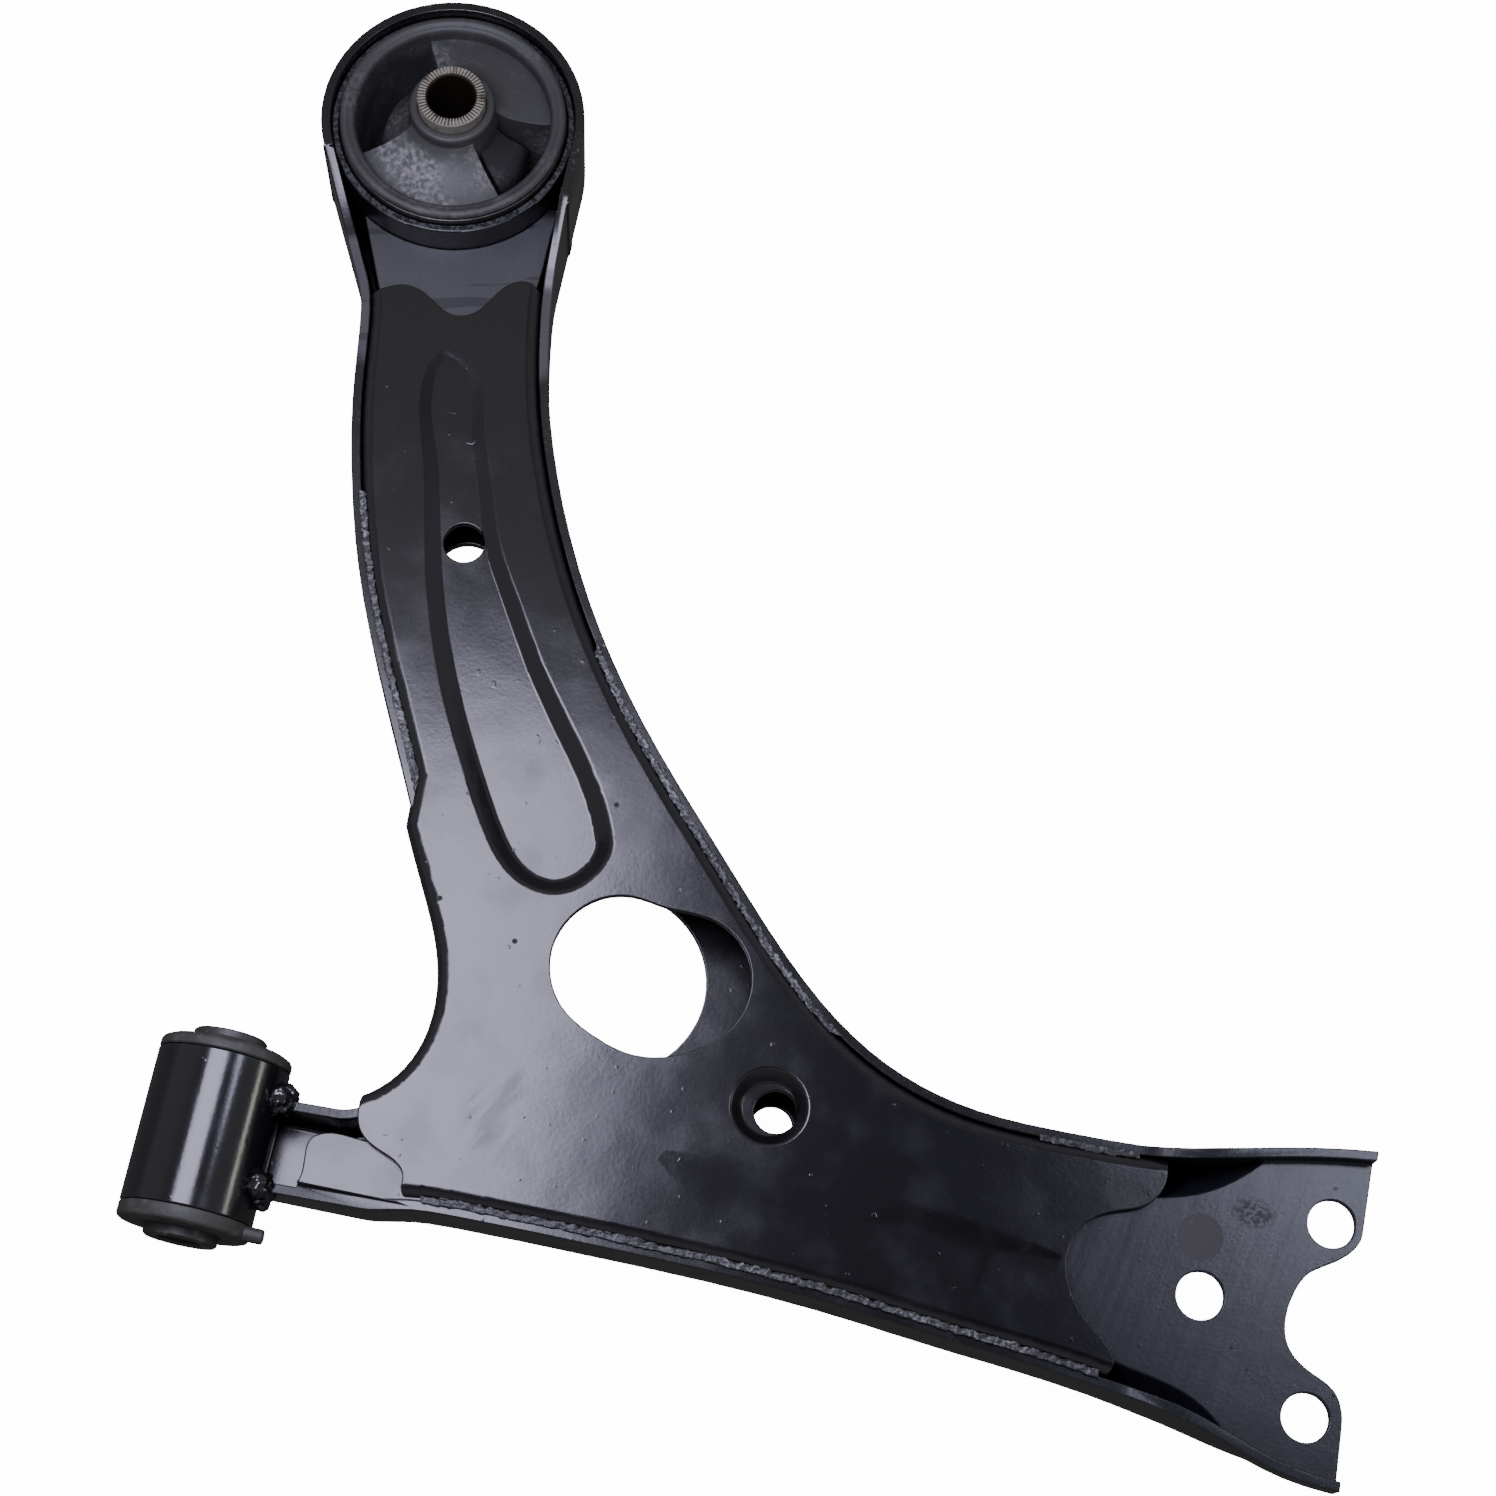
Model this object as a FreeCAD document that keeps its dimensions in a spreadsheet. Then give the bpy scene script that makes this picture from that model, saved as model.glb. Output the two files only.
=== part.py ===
# Stamped front lower control arm with its two rubber bushes, without its ball joint. Millimetres.
# Origin: centre of the front bush bore. +Y: swing axis, towards the rear bush. +X: outboard. +Z: up.
import FreeCAD, Part
import math
import os
from FreeCAD import Placement, Rotation, Vector

doc = FreeCAD.newDocument("control_arm")
sheet = doc.addObject("Spreadsheet::Sheet", "Dimensions")

DIMENSIONS = {
    "pan_sheet": 2.8, "plate_sheet": 2.4, "seam_gap": 0.15, "pan_bottom": -14.0, "plate_top": 14.0,
    "pad_top": 11.5, "lip_top": 12.0, "skirt_bottom": 2.0, "pan_bend": 5.0, "plate_bend": 4.2,
    "band_top": 26.0, "band_slope_low": 262.0, "band_slope_high": 289.0, "outer_lip_top": 17.0,
    "ear_top": 6.0, "ear_end": 60.0, "outer_pad_slope": 28.0, "rear_pad_slope": 1.0, "front_pad_slope": 5.0,
    "bush_spacing": 305.8, "band_radius": 38.9, "ring_outer": 36.0, "ring_inner": 33.7, "ring_top": 22.5,
    "sleeve_outer": 33.65, "sleeve_inner": 32.2, "sleeve_top": 24.5, "sleeve_bottom": -13.0,
    "lining_inner": 28.0, "lip_outer": 33.3, "lip_inner": 27.2, "lip_height": 2.7,
    "hub_radius": 13.0, "hub_top": 33.5, "hub_bottom": -20.0, "lobe_radius": 23.5, "lobe_top": 15.0,
    "lobe_bottom": -6.0, "rear_pin_outer": 10.0, "rear_pin_bore": 7.0, "rear_pin_top": 38.0,
    "rear_pin_bottom": -26.0, "turn_clearance": 0.05,
    "tube_radius": 18.25, "tube_wall": 2.85, "tube_length": 43.0, "shell_wall": 1.15,
    "front_pin_outer": 10.2, "front_pin_bore": 6.2, "front_pin_length": 57.6, "flange_thickness": 4.3,
    "flange_chamfer": 1.6, "bolt_hole": 6.5, "end_hole_x": 304.0, "end_hole_spacing": 52.4,
    "inner_hole_x": 271.7, "hole_line_y": 10.3, "slot_pan_hole": 26.5, "channel_depth": 4.8,
    "dimple_radius": 10.6, "dimple_floor": 7.4, "dimple_depth": 3.6, "dimple_hole": 5.9,
    "leg_hole": 5.8, "leg_pan_hole": 9.0, "step_depth": 1.1, "pad_room": 0.05, "lap_room": 0.1,
    "rim_round": 2.5, "floor_round": 2.0, "dimple_rim_round": 1.2, "dimple_floor_round": 1.0,
    "ring_room": 0.1,
    "bead_bottom": 10.4, "bead_height": 2.6, "bead_inner": 1.9, "bead_outer": 5.4,
    "spoke_shoulder": 18.0, "spoke_rise": 14.0, "lug_radius": 2.1, "lug_length": 8.0,
    "ring_weld_radius": 1.7,
}
BEYOND = 80.0  # How far cutters reach past the part.
for row, (alias, value) in enumerate(DIMENSIONS.items(), start=1):
    sheet.set("A%d" % row, alias)
    sheet.set("B%d" % row, str(value))
    sheet.setAlias("B%d" % row, alias)
doc.recompute()


def size(alias):
    """A driving dimension, read back from the sheet."""
    return float(sheet.get(alias))


def bind(thing, prop, expression):
    """Bind a property to sheet cells; names in the expression that are aliases get the sheet's name."""
    words = sorted(DIMENSIONS, key=len, reverse=True)
    for number, word in enumerate(words):
        expression = expression.replace(word, "@%d@" % number)
    for number, word in enumerate(words):
        expression = expression.replace("@%d@" % number, "Dimensions." + word)
    thing.setExpression(prop, expression)
    return thing


# --- Outlines -------------------------------------------------------------------------------------------
# The arm's three long sides in plan, walked clockwise, so the inside lies to the right of the walk.
# Each side is a smooth curve that runs straight on past both of its ends, in the end directions given.

OUTBOARD = {
    "points": [(38.8, 270), (40.2, 255), (45.3, 230), (56, 199), (73, 165.5), (96, 133.5), (122.5, 103.7),
               (146, 78.6), (163, 64), (181, 53.8), (203, 47.8), (232, 46.7), (262, 48.4), (288, 53.6),
               (313, 57.6)],
    "start": (0, -1), "end": (1, 0.1), "lead_in": 20, "lead_out": 10,
}
FRONT = {
    "points": [(315, -34), (301, -32.6), (288, -29), (275, -24.4), (260, -20.9), (240, -17.9), (205, -14.6),
               (178, -11.9), (150, -10.1), (110, -9.3), (72, -9.3), (58, -10.2), (46, -12)],
    "start": (-1, 0.05), "end": (-1, 0), "lead_in": 10, "lead_out": 40,
}
INBOARD = {
    "points": [(34, 13.6), (43, 17), (51, 25.5), (55.2, 36), (56, 47), (53.6, 60), (48.9, 71.5),
               (43.8, 81.5), (38.4, 91.8), (33.2, 102.5), (22.7, 124), (11.9, 146.3), (2.6, 169),
               (-4.8, 193), (-10.4, 217.6), (-13.4, 238), (-18, 255.7)],
    "start": (1, 0), "end": (-0.457, 0.889), "lead_in": 26, "lead_out": 37,
}


def flat(point, height=0.0):
    return Vector(point[0], point[1], height)


def right_of(direction):
    """Unit vector to the right of a direction in plan."""
    length = math.hypot(direction[0], direction[1])
    return (direction[1] / length, -direction[0] / length)


def shifted(point, direction, distance):
    normal = right_of(direction)
    return (point[0] + normal[0] * distance, point[1] + normal[1] * distance)


def side_points(side, inset):
    """The side's points moved sideways, with the far ends of its two straight leads."""
    points = side["points"]
    directions = [side["start"]]
    for before, after in zip(points, points[2:]):
        directions.append((after[0] - before[0], after[1] - before[1]))
    directions.append(side["end"])
    moved = [shifted(point, direction, inset) for point, direction in zip(points, directions)]
    return moved


def lead_end(point, direction, distance):
    length = math.hypot(direction[0], direction[1])
    return (point[0] + direction[0] / length * distance, point[1] + direction[1] / length * distance)


def distances_along(places):
    along = [0.0]
    for before, after in zip(places, places[1:]):
        along.append(along[-1] + (after - before).Length)
    return along


def smooth_curve(points, start=None, end=None):
    """A smooth curve through plan points, timed by the distance between them."""
    places = [flat(point) for point in points]
    along = distances_along(places)
    curve = Part.BSplineCurve()
    if start is None:
        curve.interpolate(Points=places, Parameters=along)
    else:
        curve.interpolate(Points=places, Parameters=along, Scale=False,
                          InitialTangent=flat(start).normalize(), FinalTangent=flat(end).normalize())
    return curve


def side_curve(side, inset):
    """One long side as a smooth curve, moved inwards by inset."""
    return smooth_curve(side_points(side, inset), side["start"], side["end"])


def side_edges(side, inset, extra=0.0):
    """Lead-in line, curve and lead-out line of one side; extra makes both leads longer."""
    curve = side_curve(side, inset)
    first, last = curve.StartPoint, curve.EndPoint
    before = flat(lead_end(first, side["start"], -side["lead_in"] - extra))
    after = flat(lead_end(last, side["end"], side["lead_out"] + extra))
    return [Part.LineSegment(before, first), curve, Part.LineSegment(last, after)]


def part_of(curve, begin, finish):
    """The stretch of a curve between the places nearest two points."""
    piece = curve.copy()
    piece.segment(curve.parameter(flat(begin)), curve.parameter(flat(finish)))
    return piece


def reversed_curve(curve):
    turned = curve.copy()
    turned.reverse()
    return turned


def turns_clockwise(points):
    area = sum(a[0] * b[1] - b[0] * a[1] for a, b in zip(points, points[1:] + points[:1]))
    return area < 0


def closed_curve(points, inset=0.0):
    """A closed smooth curve through points, moved inwards by inset."""
    inwards = inset if turns_clockwise(points) else -inset
    moved = []
    for before, point, after in zip(points[-1:] + points, points, points[1:] + points[:1]):
        direction = (after[0] - before[0], after[1] - before[1])
        moved.append(flat(shifted(point, direction, inwards)))
    curve = Part.BSplineCurve()
    curve.interpolate(Points=moved, PeriodicFlag=True, Parameters=distances_along(moved + moved[:1]))
    return curve


def joined(edges):
    """The edges with straight lines added between one's end and the next one's start."""
    outline = []
    for here, following in zip(edges, edges[1:] + edges[:1]):
        outline.append(here)
        if (here.EndPoint - following.StartPoint).Length > 1e-6:
            outline.append(Part.LineSegment(here.EndPoint, following.StartPoint))
    return outline


def polygon(points):
    corners = [flat(point) for point in points]
    return [Part.LineSegment(a, b) for a, b in zip(corners, corners[1:] + corners[:1])]


def sketch(name, geometry, height=None, turn=None):
    """A sketch of the geometry; height is an expression for its level, turn its rotation."""
    drawn = doc.addObject("Sketcher::SketchObject", name)
    drawn.addGeometry(geometry, False)
    if turn is not None:
        drawn.Placement = Placement(Vector(), turn)
    if height is not None:
        bind(drawn, "Placement.Base.z", height)
    return drawn


def extrusion(name, profile, length, taper=None):
    """A solid that rises from the profile by the length, an expression; taper narrows it in degrees."""
    solid = doc.addObject("Part::Extrusion", name)
    solid.Base = profile
    solid.DirMode = "Normal"
    solid.Solid = True
    bind(solid, "LengthFwd", length)
    if taper is not None:
        bind(solid, "TaperAngle", taper)
    return solid


def loft(name, *sections):
    result = doc.addObject("Part::Loft", name)
    result.Sections = list(sections)
    result.Solid = True
    result.Ruled = False
    return result


def cut(name, base, *tools):
    """The base with the tools taken away."""
    for number, tool in enumerate(tools):
        result = doc.addObject("Part::Cut", "%s_%d" % (name, number))
        result.Base = base
        result.Tool = tool
        base = result
    base.Label = name
    return base


def fuse(name, *solids):
    result = doc.addObject("Part::MultiFuse", name)
    result.Shapes = list(solids)
    result.Refine = True
    return result


def common(name, first, second):
    result = doc.addObject("Part::Common", name)
    result.Base = first
    result.Tool = second
    return result


def rounded(name, base, radius, wanted):
    """The base with the edges that wanted accepts rounded to the radius, an alias."""
    doc.recompute()
    result = doc.addObject("Part::Fillet", name)
    result.Base = base
    numbers = [n for n, edge in enumerate(base.Shape.Edges, start=1) if wanted(edge)]
    result.Edges = [(n, size(radius), size(radius)) if isinstance(radius, str) else (n, radius, radius)
                    for n in numbers]
    doc.recompute()
    return result


def box(name, low, high):
    block = doc.addObject("Part::Box", name)
    block.Length, block.Width, block.Height = [b - a for a, b in zip(low, high)]
    block.Placement.Base = Vector(*low)
    return block


def round_bar(name, radius, bottom, top, middle=(0, 0), angle=None, begin=0.0):
    """An upright cylinder or sector; radius, bottom and top are expressions, middle is numbers."""
    bar = doc.addObject("Part::Cylinder", name)
    bind(bar, "Radius", radius)
    bind(bar, "Height", "(%s) - (%s)" % (top, bottom))
    bar.Placement = Placement(Vector(middle[0], middle[1], 0), Rotation(Vector(0, 0, 1), begin))
    bind(bar, "Placement.Base.z", bottom)
    if angle is not None:
        bar.Angle = angle
    return bar


def at_rear_bush(thing):
    return bind(thing, "Placement.Base.y", "bush_spacing")


def level(edge, height, tolerance=0.01):
    """Whether an edge lies in the level plane at the height."""
    bounds = edge.BoundBox
    return abs(bounds.ZMin - height) < tolerance and abs(bounds.ZMax - height) < tolerance


def long_side(edge, height):
    """Whether an edge at the height belongs to a long side, and not to a line that closes an end."""
    if not level(edge, height):
        return False
    if edge.Curve.TypeId != "Part::GeomLine":
        return True
    middle = (edge.Vertexes[0].Point + edge.Vertexes[-1].Point) * 0.5
    outer_end = middle.x > 318 and abs(middle.y - 12) < 15
    front_end = middle.x < 12 and abs(middle.y) < 8
    rear_end = middle.y > 280 and abs(middle.x) < 15
    return not (outer_end or front_end or rear_end)


# --- Lower pan ------------------------------------------------------------------------------------------
# A deep stamping: floor, upturned edge, three raised pads, a band round the rear bush, holes.

OUTER_PAD = [(330, 84), (296, 66), (281, 47), (272, 39.8), (262, 35.4), (250, 33), (236, 28), (228, 12),
             (235, -3), (248, -10.5), (262, -13.6), (273, -16.8), (282, -23), (292, -38), (330, -60)]
REAR_PAD = [(-25, 305), (-20.5, 276), (-14.5, 262), (-10.2, 252), (-4, 242), (4, 236), (22, 236),
            (31, 243), (33.6, 256), (34.6, 268), (34.8, 284), (34.5, 305)]
FRONT_PAD = [(28.6, -8.2), (28.9, -1), (29.4, 3.6), (32.5, 5.8), (42, 6.1), (54, 6.6), (64, 7.2), (70, 4),
             (72, -1), (69, -6.4), (58, -9.4), (44, -10.7), (32.5, -10.6)]
PADS = [("outer_pad", OUTER_PAD, "outer_pad_slope"), ("rear_pad", REAR_PAD, "rear_pad_slope"),
        ("front_pad", FRONT_PAD, "front_pad_slope")]
END_PROFILE = [(312.8, 35.5), (309.7, 29.2), (304.9, 25.6), (299.6, 21.8), (296.4, 15.5), (295.3, 8.6),
               (297, 1.8), (301, -2.2), (306, -4.7), (310.6, -7.4), (313.4, -12.4), (314, -17)]


BAND_START = 286.0  # Where the band leaves the outboard side, along Y.
BAND_SWEEP = 207.2  # How far round the bush the band goes, in degrees.
EAR_TRIMS = [("rear_ear", 24.0, 9.9), ("front_ear", -8.6, -30.0)]  # Each ear's rear and front limit in Y.
SLOT_HOLE = (98.6, 68.0)
LEG_HOLE = (31.4, 179.9)
DIMPLE_HOLE = (150.6, 36.3)
DIMPLE = (148.6, 36.7)


def pan_blank():
    """The pan with its floor and upturned edge, open at the front tube, the outer end and the ring."""
    outer = joined(side_edges(OUTBOARD, 0) + side_edges(FRONT, 0) + side_edges(INBOARD, 0))
    inner_inset = size("pan_sheet")
    inner = joined(side_edges(OUTBOARD, inner_inset, 8) + side_edges(FRONT, inner_inset, 8)
                   + side_edges(INBOARD, inner_inset, 8))
    body = extrusion("pan_body", sketch("pan_outline", outer, "pan_bottom"), "band_top - pan_bottom")
    body = rounded("pan_body_bend", body, "pan_bend", lambda e: long_side(e, size("pan_bottom")))
    hollow = extrusion("pan_hollow", sketch("pan_hollow_outline", inner, "pan_bottom + pan_sheet"), "60")
    floor = size("pan_bottom") + size("pan_sheet")
    inner_bend = size("pan_bend") - size("pan_sheet")
    hollow = rounded("pan_hollow_bend", hollow, inner_bend, lambda e: long_side(e, floor))
    return body, hollow


def pad_block(name, points, inset, drop, slope):
    """A pad's outline with sloping walls: inset from it, and with its top dropped, from below the pan."""
    depth = size("pad_top") - size("pan_bottom") + 2
    spread = depth * math.tan(math.radians(size(slope)))
    low = sketch(name + "_foot", [closed_curve(points, inset - spread)], "pan_bottom - 2 - (%s)" % drop)
    high = sketch(name + "_head", [closed_curve(points, inset)], "pad_top - (%s)" % drop)
    return loft(name, low, high)


def lower_pan():
    body, hollow = pan_blank()
    raised = [pad_block(n, p, 0, "0", slope) for n, p, slope in PADS]
    under = [pad_block(n + "_under", p, size("pan_sheet"), "pan_sheet", slope) for n, p, slope in PADS]
    hollow = cut("pan_inside", hollow, *raised)
    dish = cut("pan_dish", body, hollow, *under)
    band = rear_band()
    whole = fuse("pan_with_band", dish, band)
    return cut("lower_pan", whole, *(pan_trims() + pan_holes()))


def rear_band():
    """The part of the upturned edge that wraps round the rear bush."""
    middle = Vector(0, size("bush_spacing"), 0)
    outer = size("band_radius")
    inner = outer - size("pan_sheet")
    begin, finish = 0.0, math.radians(BAND_SWEEP)

    def place(radius, angle):
        return middle + Vector(math.cos(angle), math.sin(angle), 0) * radius

    outside = Part.ArcOfCircle(Part.Circle(middle, Vector(0, 0, 1), outer), begin, finish)
    inside = Part.ArcOfCircle(Part.Circle(middle, Vector(0, 0, 1), inner), begin, finish)
    lines = [Part.LineSegment(place(outer, finish), place(inner, finish)),
             Part.LineSegment(place(inner, begin), Vector(inner, BAND_START, 0)),
             Part.LineSegment(Vector(inner, BAND_START, 0), Vector(outer, BAND_START, 0)),
             Part.LineSegment(Vector(outer, BAND_START, 0), place(outer, begin))]
    profile = sketch("band_outline", [outside, inside] + lines, "pan_bottom + pan_bend")
    return extrusion("rear_band", profile, "band_top - pan_bottom - pan_bend")


def pan_trims():
    """Cutters that set the height of the upturned edge and shape the two open ends."""
    lip, band, outer_lip = size("lip_top"), size("band_top"), size("outer_lip_top")
    rear = size("bush_spacing") + BEYOND
    along = Rotation(Vector(0, 1, 0), Vector(0, 0, 1), Vector(1, 0, 0), "ZXY")
    sloped = [(-BEYOND, lip), (size("band_slope_low"), lip), (size("band_slope_high"), band), (rear, band),
              (rear, BEYOND), (-BEYOND, BEYOND)]
    long_trim = extrusion("lip_trim", sketch("lip_trim_outline", polygon(sloped), turn=along), "310")
    long_trim.Placement.Base = Vector(-60, 0, 0)
    across = Rotation(Vector(1, 0, 0), 90)
    outer = [(250, lip), (270, outer_lip), (350, outer_lip), (350, BEYOND), (250, BEYOND)]
    outer_trim = extrusion("outer_lip_trim", sketch("outer_trim_outline", polygon(outer), turn=across), "200")
    outer_trim.Placement.Base = Vector(0, 100, 0)
    ear_top, ear_end = size("ear_top"), size("ear_end")
    ear = [(-40, ear_top), (22, ear_top), (ear_end, lip), (ear_end, BEYOND), (-40, BEYOND)]
    ear_trims = []
    for name, rear_limit, front_limit in EAR_TRIMS:
        outline = sketch(name + "_trim_outline", polygon(ear), turn=across)
        ear_trims.append(extrusion(name + "_trim", outline, str(rear_limit - front_limit)))
        ear_trims[-1].Placement.Base = Vector(0, rear_limit, 0)
    end = joined([Part.LineSegment(Vector(313.2, 90, 0), flat(END_PROFILE[0])),
                  smooth_curve(END_PROFILE, (0, -1), (0, -1)),
                  Part.LineSegment(flat(END_PROFILE[-1]), Vector(315.1, -60, 0)),
                  Part.LineSegment(Vector(345, -60, 0), Vector(345, 90, 0))])
    end_trim = extrusion("end_trim", sketch("end_trim_outline", end, "pan_bottom - 5"), "60")
    return [long_trim, outer_trim, end_trim, tube_space()] + ear_trims


def tube_space():
    """The round space that the ears leave for the front tube."""
    space = doc.addObject("Part::Cylinder", "tube_space")
    bind(space, "Radius", "tube_radius + ring_room")
    bind(space, "Height", "tube_length * 2")
    space.Placement.Rotation = Rotation(Vector(1, 0, 0), 90)
    return bind(space, "Placement.Base.y", "tube_length")


def pan_holes():
    ring_hole = at_rear_bush(round_bar("ring_hole", "ring_outer + ring_room", "pan_bottom - 5",
                                       "band_top + 5"))
    slot_hole = round_bar("slot_hole", "slot_pan_hole", "-20", "5", middle=SLOT_HOLE)
    leg_hole = round_bar("leg_floor_hole", "leg_pan_hole", "-20", "5", middle=LEG_HOLE)
    dimple_hole = round_bar("dimple_floor_hole", "dimple_hole", "-20", "5", middle=DIMPLE_HOLE)
    return [ring_hole, slot_hole, leg_hole, dimple_hole] + ball_joint_holes()


def ball_joint_holes():
    holes = []
    for name, x, offset in (("outer_hole_rear", "end_hole_x", "end_hole_spacing / 2"),
                            ("outer_hole_front", "end_hole_x", "-end_hole_spacing / 2"),
                            ("inner_bolt_hole", "inner_hole_x", "0")):
        hole = round_bar(name, "bolt_hole", "0", "20")
        bind(hole, "Placement.Base.x", x)
        bind(hole, "Placement.Base.y", "hole_line_y + (%s)" % offset)
        holes.append(hole)
    return holes


# --- Upper plate ----------------------------------------------------------------------------------------
# The cover stamping: flat top, turned-down shoulder, channel, slot, dimple, sloping step, scalloped ends.

REAR_SCALLOP = [(-22, 246), (-15, 249.5), (-8.7, 253.2), (-3.5, 255.2), (2, 254.2), (7.3, 250.8),
                (13, 248.7), (18, 250.4), (22, 255.6), (26, 261.5), (30.5, 263.8), (36, 262), (46, 257)]
OUTER_SCALLOP = [(262, 56), (257.6, 46), (257.4, 36.5), (253, 30.6), (245.5, 27.6), (238.8, 23.6),
                 (235, 16.8), (234.8, 10.2), (237.6, 3.2), (242.8, -3), (249.2, -8.4), (251.4, -12.4),
                 (249.4, -17.2), (252, -28)]
FRONT_SCALLOP = [(40.2, 24), (40.2, 14), (42, 8.1), (47, 4.3), (52.6, 2), (56, -1.6), (56.5, -5.6),
                 (59.5, -8), (64, -16)]
CHANNEL = [(91.2, 102), (86.5, 112.5), (74, 130.8), (62.1, 147.1), (49.9, 167), (41, 183), (35.2, 200),
           (29, 219), (22.5, 236), (12, 239), (7.6, 227), (13, 205), (22, 171.6), (38.1, 129.4),
           (48.5, 110), (58, 94.5), (66.8, 85.6), (78.8, 83.2), (88, 89.5)]
SLOT = [(81.9, 65), (84.4, 76.6), (91.5, 84), (100.5, 86.6), (110.5, 85.4), (120, 85.2), (129.8, 81.8),
        (136, 74), (137.3, 65.5), (134.6, 56.6), (128.3, 49.6), (119.4, 44.8), (110, 43.2), (98, 46.2),
        (87.2, 53)]
LAP_SPAN = ((10.0, 10.0, 0.0), (70.0, 114.0, 30.0))  # The stretch where the cover laps over the pan's edge.
STEP_SECTIONS = [(122, 19.2, 18.2, 16.5), (145, 21.2, 14.6, 3), (172, 20.9, 11.6, -2), (202, 18.4, 10.9, -4),
                 (222, 15.6, 11.2, 1), (233, 12.9, 11.6, 9)]


def plate_outline(inset, extra):
    """The cover's plan outline; extra pushes its square ends outwards."""
    seam = size("pan_sheet") + size("seam_gap") + inset
    outside = inset - size("plate_sheet") - size("seam_gap")
    outboard = part_of(side_curve(OUTBOARD, seam), (38.8, 270), (265 + extra, 49))
    front = part_of(side_curve(FRONT, seam), (258 + extra, -20.5), (46, -12))
    inboard = side_curve(INBOARD, outside)
    concave = part_of(inboard, (34, 13.6), (36.4, 95.6))
    leg = part_of(side_curve(INBOARD, seam), (31, 107), (-18, 255.7))
    front_lead = Part.LineSegment(front.EndPoint, front.EndPoint + Vector(-18 - extra, 0, 0))
    concave_lead = Part.LineSegment(concave.StartPoint + Vector(-6 - extra, 0, 0), concave.StartPoint)
    leg_lead = Part.LineSegment(leg.EndPoint, leg.EndPoint + flat(INBOARD["end"]) * (16 + extra))
    rear_lead = Part.LineSegment(outboard.StartPoint + Vector(0, 3 + extra, 0), outboard.StartPoint)
    return joined([outboard, front, front_lead, concave_lead, concave, leg, leg_lead, rear_lead])


def plate_long_side(edge, height):
    """Whether an edge belongs to the cover's shoulder, and not to a square end that is trimmed away."""
    if not level(edge, height):
        return False
    if edge.Curve.TypeId != "Part::GeomLine":
        return True
    ends = [vertex.Point for vertex in edge.Vertexes]
    across = max(abs(ends[0].x - ends[1].x), abs(ends[0].y - ends[1].y))
    outer_end = min(end.x for end in ends) > 240
    rear_end = min(end.y for end in ends) > 262 and across > 30
    front_end = max(end.x for end in ends) < 32 and abs(ends[0].y - ends[1].y) > 15
    return not (outer_end or rear_end or front_end)


def plate_blank():
    top, sheet_thickness = size("plate_top"), size("plate_sheet")
    outer = extrusion("plate_body", sketch("plate_outline", plate_outline(0, 0), "skirt_bottom"),
                      "plate_top - skirt_bottom")
    outer = rounded("plate_body_bend", outer, "plate_bend", lambda e: plate_long_side(e, top))
    inner = extrusion("plate_hollow", sketch("plate_hollow_outline", plate_outline(sheet_thickness, 8),
                                             "skirt_bottom - 1"),
                      "plate_top - plate_sheet - skirt_bottom + 1")
    inner_bend = size("plate_bend") - sheet_thickness
    inner = rounded("plate_hollow_bend", inner, inner_bend,
                    lambda e: plate_long_side(e, top - sheet_thickness))
    return cut("plate_blank", outer, inner)


def scallop_trim(name, points, corners):
    """A cutter that takes away what lies beyond a scalloped end."""
    curve = smooth_curve(points)
    path = [flat(p) for p in corners]
    lines = [Part.LineSegment(a, b) for a, b in zip([curve.EndPoint] + path, path + [curve.StartPoint])]
    return extrusion(name, sketch(name + "_outline", [curve] + lines, "pan_bottom"), "40")


def channel_tools():
    """The pressed channel: what is cut from the top, and the metal it pushes out below."""
    depth, thickness = size("channel_depth"), size("plate_sheet")
    # The floor's plane tilts, so that the channel fades out towards the rear bush.
    near, far = 85.0, 246.0
    tilt = math.degrees(math.atan2(depth, far - near))
    tilted = Rotation(Vector(1, 0, 0), tilt)

    def floor_sketch(name, inset, drop):
        drawn = sketch(name, [closed_curve(CHANNEL, inset)])
        height = size("plate_top") - depth - drop - near * math.tan(math.radians(tilt))
        drawn.Placement = Placement(Vector(0, 0, height), tilted)
        return drawn

    above = loft("channel_cut", sketch("channel_rim", [closed_curve(CHANNEL, -0.2)], "plate_top + 0.2"),
                 floor_sketch("channel_floor", depth * 0.9, 0))
    above = rounded("channel_cut_round", above, "floor_round",
                    lambda e: e.isClosed() and e.BoundBox.ZMin < size("plate_top") - 1)
    below = loft("channel_metal",
                 sketch("channel_metal_rim", [closed_curve(CHANNEL, -1.0)], "plate_top - plate_sheet + 0.2"),
                 floor_sketch("channel_metal_floor", depth * 0.9 - 1.2, thickness))
    return above, below


def cone(name, wide, narrow, depth, top, middle):
    """A cone that narrows downwards from the top level."""
    solid = doc.addObject("Part::Cone", name)
    bind(solid, "Radius1", narrow)
    bind(solid, "Radius2", wide)
    bind(solid, "Height", depth)
    solid.Placement.Base = Vector(middle[0], middle[1], 0)
    bind(solid, "Placement.Base.z", "(%s) - (%s)" % (top, depth))
    return solid


def dimple_tools():
    above = cone("dimple_cut", "dimple_radius", "dimple_floor", "dimple_depth + 0.01", "plate_top + 0.01",
                 DIMPLE)
    below = cone("dimple_metal", "dimple_radius + plate_sheet * 0.5", "dimple_floor + plate_sheet * 0.5",
                 "dimple_depth", "plate_top - plate_sheet", DIMPLE)
    above = rounded("dimple_cut_round", above, "dimple_floor_round",
                    lambda e: e.isClosed() and e.BoundBox.ZMax < size("plate_top") - 1)
    hole = round_bar("dimple_bolt_hole", "dimple_hole", "0", "20", middle=DIMPLE_HOLE)
    return above, below, hole


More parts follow.
